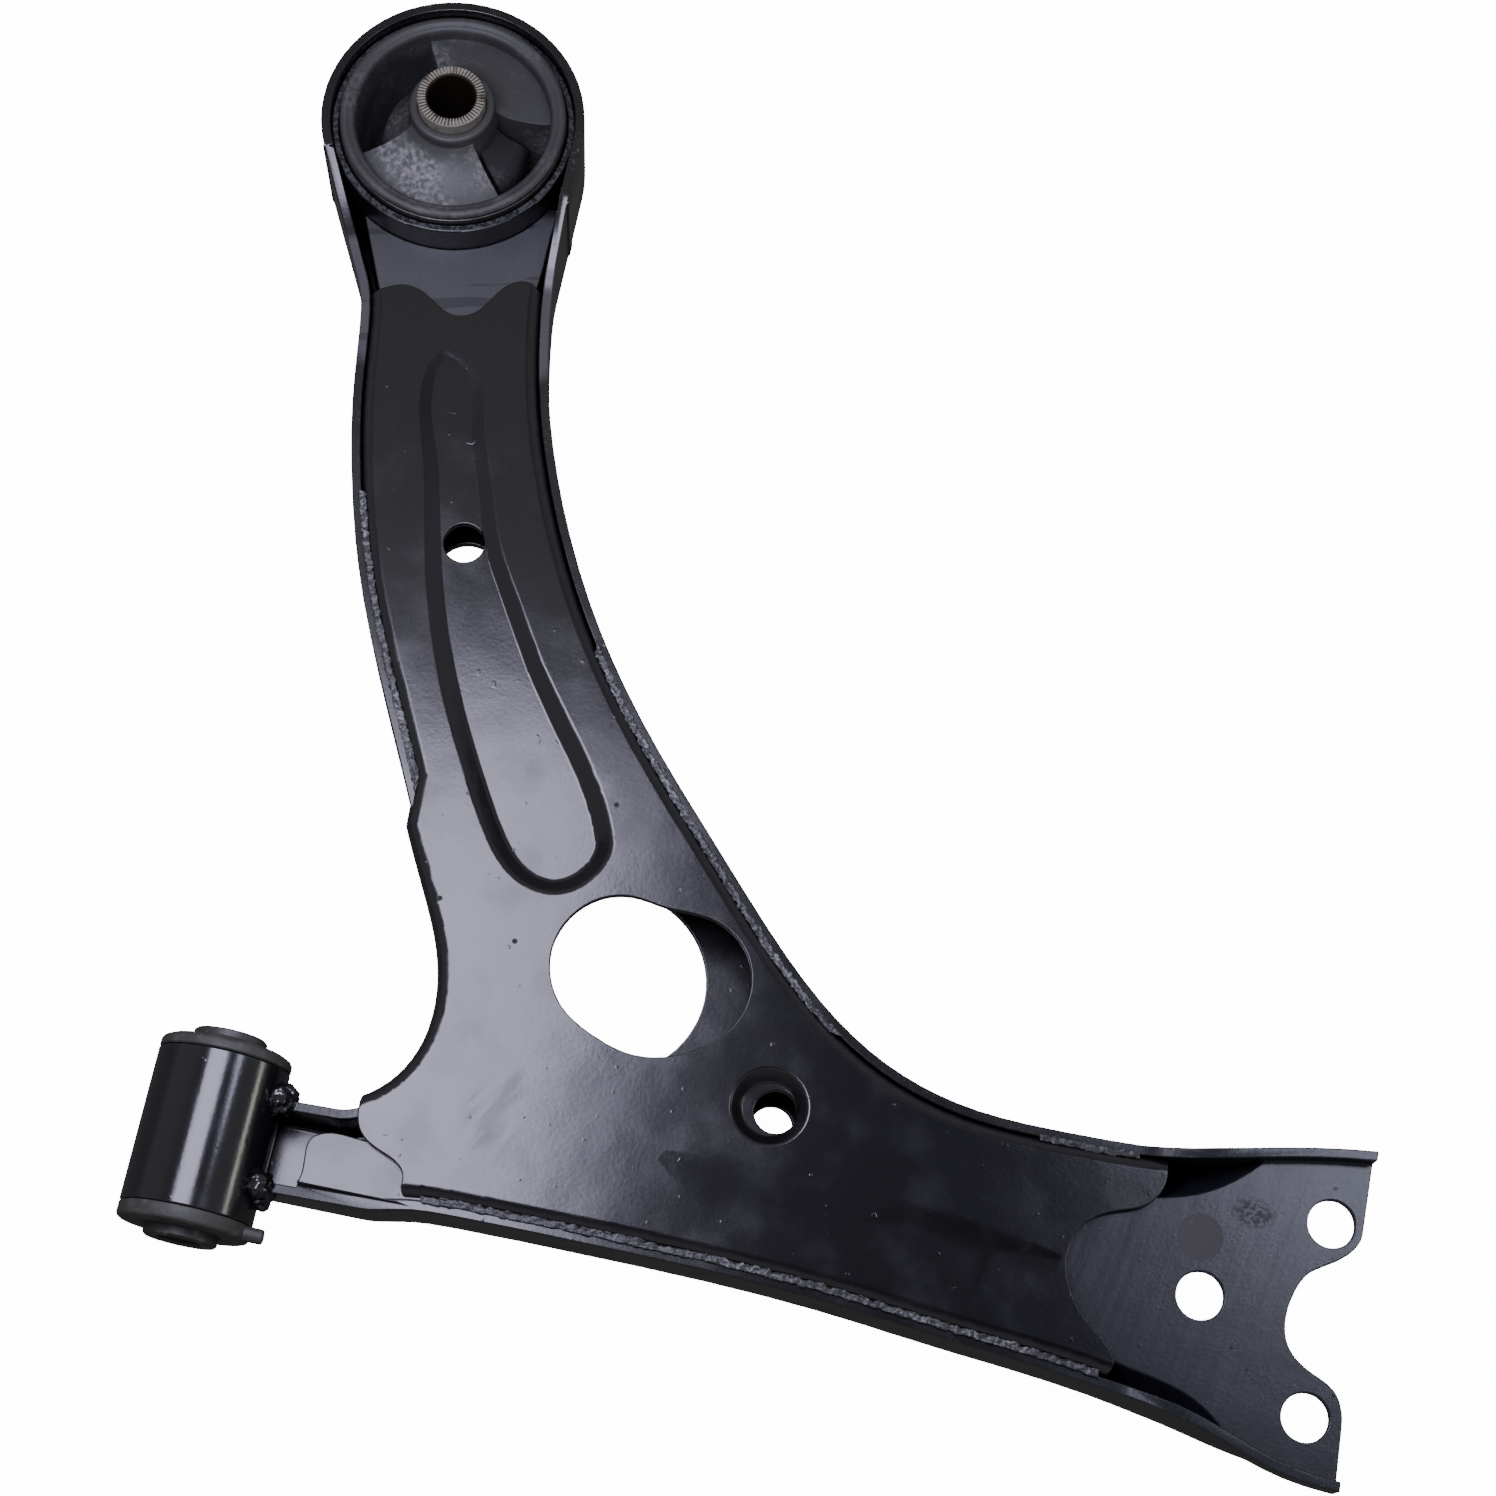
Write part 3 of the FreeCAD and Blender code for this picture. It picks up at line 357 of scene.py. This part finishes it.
pan = joined_copy("lower_pan", "pan_stamping")
eased(pan, 0.0004)
smooth(pan)
finish_piece(pan, pan_finish.done(), "pan_steel", "arm", "lower_pan")

# Upper plate: the thinner cover stamping, laid into the pan and welded along its turned-down edges.
# Its channel, dimple and long crease are pressed in, so their rims are soft and their floors flat.

plate_face = 0.014  # height of the cover's upper face
plate_finish = black_paint("plate_paint", 0.2, 0.35)
rubbed = plate_finish.spot((0.076, 0.0215, plate_face), (0.011, 0.017, 0.02), 0.5)
strokes = plate_finish.noise(240, 5, stretch=(1, 5, 1), turn=(0, 0, -0.5))
rubbed = plate_finish.times(plate_finish.times(rubbed, plate_finish.ramp(strokes, 0.46, 0.66)), 0.55)
plate_finish.tint(rubbed, (0.02, 0.018, 0.02))
plate_finish.rough(rubbed, 0.42)
for chip in ((0.0713, 0.0675), (0.0485, 0.0752), (0.0905, 0.1115)):
    plate_finish.rough(plate_finish.spot((*chip, plate_face), 0.0009, 0.4), 0.8)

plate = joined_copy("upper_plate", "cover_plate")
eased(plate, 0.0004)
smooth(plate)
finish_piece(plate, plate_finish.done(), "plate_steel", "arm", "upper_plate")

# Rear ring: a short steel tube that holds the rear bush. It is welded into the pan's band and painted with
# it, and its turned upper edge is painted lighter in patches: partly scuffs where the bush was pressed in,
# partly a painted highlight along the rim.

ring_finish = black_paint("ring_paint", 0.28, 0.1)
# Painted highlight mixed with scuffing: the ring's top edge is given a lighter, bluish grey in patches,
# standing in for the thin shiny line along the rim.
scuff_and_highlight_rim = ring_finish.ramp(ring_finish.noise(900, 4), 0.42, 0.6)
ring_top = ring_finish.add("ShaderNodeSeparateXYZ")
ring_finish.tree.links.new(ring_finish.place, ring_top.inputs["Vector"])
near_top = ring_finish.ramp(ring_top.outputs["Z"], 0.0222, 0.0226)
ring_finish.tint(ring_finish.times(scuff_and_highlight_rim, near_top), (0.05, 0.052, 0.06))
ring = joined_copy("rear_ring", "bush_ring")
eased(ring, 0.0006)
smooth(ring, 50)
finish_piece(ring, ring_finish.done(), "tube_steel", "arm", "rear_ring")

# Rear bush sleeve: a thin pressed steel wall between the ring and the rubber. It is bare steel, dark with
# oil, and stays in the ring by its press fit.

sleeve_finish = Finish("oiled_steel", (0.06, 0.058, 0.055), 0.38, 0.9)
sleeve_finish.tint(sleeve_finish.ramp(sleeve_finish.noise(120, 4), 0.5, 0.75), (0.03, 0.026, 0.02))
sleeve_finish.bump(sleeve_finish.noise(500, 3), 0.2, 0.0002)
sleeve = joined_copy("rear_bush_outer_sleeve", "bush_sleeve")
smooth(sleeve, 50)
finish_piece(sleeve, sleeve_finish.done(), "outer_sleeve_steel", "arm", "rear_bush_outer_sleeve")

# Rear bush rubber: one moulding of a lining with a rolled lip, two wide webs that climb to the hub,
# and a hub with a bumper lobe in each of the two voids. Dull black with pale bloom where it is handled.

ring_low, ring_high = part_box("rear_ring")
bush_centre = ((ring_low.x + ring_high.x) / 2, (ring_low.y + ring_high.y) / 2, 0)


def on_bush(profile, degrees):
    """Profile points (radius, height) in millimetres, in the upright plane at an angle round the bush."""
    across, along = math.cos(math.radians(degrees)), math.sin(math.radians(degrees))
    return [(bush_centre[0] + r / 1000 * across, bush_centre[1] + r / 1000 * along, z / 1000)
            for r, z in profile]


def drawn_face(name, points):
    """A flat face drawn corner by corner: one corner is set down and pulled out to each next one."""
    deselect()
    bpy.ops.mesh.primitive_plane_add(size=0.001, location=points[0])
    piece = bpy.context.object
    piece.name = name
    bpy.ops.object.mode_set(mode="EDIT")
    bpy.ops.mesh.select_mode(type="VERT")
    bpy.ops.mesh.select_all(action="SELECT")
    bpy.ops.mesh.merge(type="CENTER")
    for before, after in zip(points, points[1:]):
        step = Vector(after) - Vector(before)
        bpy.ops.mesh.extrude_region_move(TRANSFORM_OT_translate={"value": step})
    bpy.ops.mesh.select_all(action="SELECT")
    bpy.ops.mesh.edge_face_add()
    return piece


def turned(name, points, centre, axis, steps=96, sweep=360.0):
    """A turned piece: its section is drawn and spun about the axis, all round or part of the way.

    Spin turns clockwise seen from the axis's tip, so the sweep is given to it negative."""
    piece = drawn_face(name, points)
    if sweep == 360.0:
        bpy.ops.mesh.delete(type="ONLY_FACE")
        bpy.ops.mesh.select_all(action="SELECT")
    bpy.ops.mesh.spin(steps=steps, angle=-math.radians(sweep), center=centre, axis=axis)
    bpy.ops.mesh.select_all(action="SELECT")
    bpy.ops.mesh.remove_doubles(threshold=1e-6)
    bpy.ops.mesh.normals_make_consistent(inside=False)
    bpy.ops.object.mode_set(mode="OBJECT")
    bpy.ops.object.transform_apply(location=True, rotation=True, scale=True)
    return piece


def web(name, profile, begin, sweep, rounding):
    """A sector of rubber round the bush with its two side walls' upper edges rounded over."""
    piece = turned(name, on_bush(profile, begin), bush_centre, (0, 0, 1), steps=28, sweep=sweep)
    make_active(piece)
    bpy.ops.object.mode_set(mode="EDIT")
    bpy.ops.mesh.select_all(action="DESELECT")
    bpy.ops.object.mode_set(mode="OBJECT")
    lowest = min(z for _, z in profile) / 1000 + 0.002
    ends = (math.radians(begin), math.radians(begin + sweep))
    for edge in piece.data.edges:
        at_side = True
        for corner in edge.vertices:
            spot = piece.data.vertices[corner].co
            turn = math.atan2(spot.y - bush_centre[1], spot.x - bush_centre[0])
            near = min(abs(math.remainder(turn - end, 2 * math.pi)) for end in ends)
            reach = math.hypot(spot.x - bush_centre[0], spot.y - bush_centre[1])
            at_side = at_side and near * reach < 1e-5 and spot.z > lowest
        edge.select = at_side
    bpy.ops.object.mode_set(mode="EDIT")
    bpy.ops.mesh.select_mode(type="EDGE")
    bpy.ops.mesh.bevel(offset=rounding, segments=4, affect="EDGES", clamp_overlap=True)
    bpy.ops.object.mode_set(mode="OBJECT")
    return piece


def rubber(name, grey, bloom):
    """Dull moulded rubber, this grey, with a pale bloom in smears and fine scuffs."""
    finish = Finish(name, (grey, grey, grey), 0.55)
    patches = finish.ramp(finish.noise(70, 6), 0.42, 0.74)
    grit = finish.ramp(finish.noise(620, 8), 0.3, 0.8)
    finish.tint(finish.times(finish.times(patches, grit), bloom), (0.3, 0.29, 0.29))
    finish.rough(patches, 0.68)
    finish.bump(finish.noise(160, 4), 0.35, 0.0006)
    finish.bump(finish.noise(1300, 4), 0.3, 0.00015)
    return finish


bush_rubber = rubber("bush_rubber", 0.034, 0.7).done()
lobe_rubber = rubber("lobe_rubber", 0.022, 0.3).done()
lip_rubber = rubber("lip_rubber", 0.024, 0.2).done()
rim = turned("bush_lining", on_bush(
    [(33.1, 24.8), (33.35, 25.5), (33.25, 26.2), (32.7, 26.8), (32.0, 27.0), (31.3, 26.9), (30.8, 26.4),
     (30.3, 26.35), (29.6, 26.2), (29.0, 25.5), (28.7, 24.4), (28.6, 20.0), (28.2, 8.0), (27.6, -6.0),
     (25.0, -9.6), (20.6, -10.6), (20.4, -11.2), (20.8, -11.9), (32.0, -11.9), (32.1, -11.0),
     (32.1, 24.6)], 0), bush_centre, (0, 0, 1), steps=120)
smooth(rim, 60)
finish_piece(rim, lip_rubber, "rear_bush_rubber", "arm", "rear_bush_rim")

WEB = [(12.3, 30.6), (13.2, 29.0), (14.8, 27.0), (17.0, 25.2), (20.0, 23.7), (23.4, 22.6), (26.2, 22.0),
       (28.8, 21.7), (28.4, -4.5), (25.0, -6.0), (18.0, -8.5), (12.3, -11.0)]
for name, node, begin, sweep in (("outer_web", "rear_bush_outer_spoke", 12.0, 105.0),
                                 ("inner_web", "rear_bush_inner_spoke", 212.0, 100.0)):
    spoke = web(name, WEB, begin, sweep, 0.0028)
    smooth(spoke, 50)
    finish_piece(spoke, bush_rubber, "rear_bush_rubber", None, node)
    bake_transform(spoke)

hub = turned("bush_hub", on_bush(
    [(10.08, -19.3), (10.8, -20.0), (12.2, -20.0), (13.0, -19.2), (13.0, 20.0), (13.15, 26.0), (12.75, 29.5),
     (12.5, 31.6), (12.55, 32.4), (12.2, 33.2), (11.4, 33.5), (10.3, 33.4), (10.08, 32.9)], 0),
    bush_centre, (0, 0, 1), steps=96)
smooth(hub, 50)
finish_piece(hub, lip_rubber, "rear_bush_rubber", "rear_hub", "rear_bush_hub")
LOBE = [(12.4, 23.5), (14.0, 20.4), (16.2, 17.6), (18.6, 15.4), (20.6, 13.6), (21.8, 11.0), (22.1, 7.0),
        (22.0, -1.0), (21.2, -3.2), (12.4, -4.0)]
for name, begin, sweep in (("left_bumper", 128.0, 74.0), ("right_bumper", -39.0, 44.0)):
    bumper = web(name, LOBE, begin, sweep, 0.0032)
    smooth(bumper, 50)
    finish_piece(bumper, lobe_rubber, "rear_bush_rubber", "rear_hub", "rear_bush_hub")

# Rear inner sleeve: thick steel tube, bonded into the hub, that the body bolt goes through. Its end is
# rolled with radial teeth that bite into the car's bracket, and it is bare and a little brown.

TEETH = 56
pin = turned("bush_pin", on_bush(
    [(7.35, 38.0), (9.75, 38.0), (10.0, 37.6), (10.0, -25.6), (9.75, -26.0), (7.35, -26.0), (7.0, -25.6),
     (7.0, 37.6)], 0), bush_centre, (0, 0, 1), steps=TEETH * 2)
make_active(pin)
bpy.ops.object.mode_set(mode="EDIT")
bpy.ops.mesh.select_mode(type="FACE")
bpy.ops.mesh.select_all(action="DESELECT")
bpy.ops.object.mode_set(mode="OBJECT")
for face in pin.data.polygons:  # every second end face is sunk, which leaves the teeth between them
    turn = math.degrees(math.atan2(face.center.y - bush_centre[1], face.center.x - bush_centre[0])) % 360
    face.select = abs(face.normal.z) > 0.99 and int(turn / (180 / TEETH)) % 2 == 0
bpy.ops.object.mode_set(mode="EDIT")
bpy.ops.mesh.extrude_region_shrink_fatten(TRANSFORM_OT_shrink_fatten={"value": -0.0011})
bpy.ops.object.mode_set(mode="OBJECT")
smooth(pin, 30)
pin_finish = Finish("rolled_steel", (0.36, 0.335, 0.29), 0.45, 0.8)
pin_finish.tint(pin_finish.ramp(pin_finish.noise(380, 5), 0.5, 0.75), (0.12, 0.1, 0.08))
pin_finish.tint(pin_finish.spot((bush_centre[0], bush_centre[1], 0.0), (0.0078, 0.0078, 0.3), 0.05),
                (0.035, 0.024, 0.016))
pin_finish.bump(pin_finish.noise(900, 4), 0.4, 0.0002)
finish_piece(pin, pin_finish.done(), "inner_sleeve_steel", "rear_pin", "rear_bush_inner_sleeve")

# Front tube: cut from steel tube, welded to the pan's two ears and painted glossy black. The front bush's
# thin steel shell is pressed into it.

tube = joined_copy("front_tube", "bush_tube")
smooth(tube, 50)
finish_piece(tube, black_paint("tube_paint", 0.16, 0.12).done(), "tube_steel", "arm", "front_tube")
shell = joined_copy("front_bush_outer_shell", "bush_shell")
smooth(shell, 50)
finish_piece(shell, sleeve_finish.material, "outer_sleeve_steel", "arm", "front_bush_outer_shell")

# Front bush: rubber bonded between shell and inner sleeve, with a thick disc at each end. The rear disc is
# domed and chamfered, the front one has a small lug, and paint overspray has dulled both.

tube_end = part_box("front_tube")[1].y * 1000
swing_axis = (0.0, 1.0, 0.0)


def on_swing(profile):
    """Profile points (radius, place along the axis) in millimetres, above the swing axis."""
    return [(0.0, y / 1000, r / 1000) for r, y in profile]


flange_finish = Finish("flange_rubber", (0.024, 0.024, 0.021), 0.6)
flange_finish.tint(flange_finish.ramp(flange_finish.noise(180, 5), 0.5, 0.72), (0.05, 0.05, 0.043))
flange_finish.bump(flange_finish.noise(220, 4), 0.4, 0.0006)
flange_finish.bump(flange_finish.noise(1200, 4), 0.4, 0.0002)
flange_rubber = flange_finish.done()
rear_disc = turned("rear_disc", on_swing(
    [(radius, tube_end + past) for radius, past in (
        (10.3, 0.1), (17.9, 0.1), (18.25, 0.5), (18.2, 2.3), (17.6, 3.1),
        (16.2, 3.8), (13.5, 4.4), (11.4, 5.0), (10.5, 5.2), (10.3, 4.9))]),
    (0, 0, 0), swing_axis, steps=72)
front_disc = turned("front_disc", on_swing(
    [(radius, -tube_end - past) for radius, past in (
        (10.3, 0.1), (10.3, 4.2), (10.8, 4.5), (16.9, 4.4),
        (17.8, 4.0), (18.2, 3.3), (18.2, 0.5), (17.9, 0.1))]),
    (0, 0, 0), swing_axis, steps=72)
deselect()
bpy.ops.mesh.primitive_cylinder_add(vertices=24, radius=0.0021, depth=0.008,
                                    location=(0.0185, -tube_end / 1000 - 0.0023, 0.004),
                                    rotation=(0, math.pi / 2, 0))
lug = bpy.context.object
lug.name = "disc_lug"
bpy.ops.object.transform_apply(location=True, rotation=True, scale=True)
bpy.ops.object.mode_set(mode="EDIT")
bpy.ops.mesh.bevel(offset=0.0007, segments=3, affect="EDGES")
bpy.ops.object.mode_set(mode="OBJECT")
core = joined_copy("front_bush_rubber", "bush_core")
for piece, node in ((rear_disc, "front_bush_rear_flange"), (front_disc, "front_bush_front_flange"),
                    (lug, "front_bush_front_flange"), (core, "front_bush_rubber")):
    smooth(piece, 40)
    finish_piece(piece, flange_rubber, "front_bush_rubber", "arm", node)
inner = joined_copy("front_bush_inner_sleeve", "swing_sleeve")
smooth(inner, 50)
inner_finish = Finish("sprayed_steel", (0.03, 0.03, 0.027), 0.5, 0.3)
inner_finish.tint(inner_finish.ramp(inner_finish.noise(300, 4), 0.55, 0.75), (0.09, 0.085, 0.07))
inner_finish.bump(inner_finish.noise(700, 4), 0.3, 0.0002)
finish_piece(inner, inner_finish.done(), "inner_sleeve_steel", "front_pin", "front_bush_inner_sleeve")

# Welds: runs of metal laid along the cover's shoulder, blobs between tube and ears, and the bead under the
# ring. They are rippled and spattered, painted thinly, and shine where the paint missed them.

weld_texture = bpy.data.textures.new("weld_ripple", "CLOUDS")
weld_texture.noise_scale = 0.0016
weld_texture.noise_depth = 2


def rippled(node, name, grain, depth, level):
    """A CAD weld rebuilt as one skin of metal and pushed in and out in ripples about a level."""
    piece = joined_copy(node, name)
    remesh = piece.modifiers.new("skin", "REMESH")
    remesh.mode = "VOXEL"
    remesh.voxel_size = grain
    bpy.ops.object.modifier_apply(modifier="skin")
    ripple = piece.modifiers.new("ripple", "DISPLACE")
    ripple.texture = weld_texture
    ripple.texture_coords = "GLOBAL"
    ripple.strength = depth
    ripple.mid_level = level
    bpy.ops.object.modifier_apply(modifier="ripple")
    bpy.ops.object.shade_smooth()
    return piece


seam_finish = Finish("seam_weld", (0.02, 0.02, 0.022), 0.34)
bare = seam_finish.times(seam_finish.ramp(seam_finish.noise(1100, 5), 0.48, 0.64),
                         seam_finish.ramp(seam_finish.noise(55, 3), 0.46, 0.62))
seam_finish.tint(bare, (0.16, 0.16, 0.17))
seam_finish.rough(bare, 0.45)
seam_finish.bump(seam_finish.noise(1500, 5), 0.7, 0.0004)
seam_metal = seam_finish.done()
blob_metal = black_paint("blob_weld", 0.14, 0.6).done()
for node, name, metal, grain, depth, level in (
        ("weld_inboard_seam", "inboard_bead", seam_metal, 0.0005, 0.0016, 0.6),
        ("weld_outboard_seam", "outboard_bead", seam_metal, 0.0005, 0.0016, 0.6),
        ("weld_outer_end_seam", "outer_end_bead", seam_metal, 0.0005, 0.0014, 0.6),
        ("weld_front_seam", "front_bead", seam_metal, 0.0005, 0.0014, 0.6),
        ("weld_ring", "ring_bead", seam_metal, 0.0006, 0.0012, 0.6),
        ("weld_tube_rear_ear", "rear_ear_blobs", blob_metal, 0.0004, 0.0034, 0.1),
        ("weld_tube_front_ear", "front_ear_blobs", blob_metal, 0.0004, 0.0034, 0.1)):
    bead = rippled(node, name, grain, depth, level)
    finish_piece(bead, metal, "weld_metal", "arm", node)
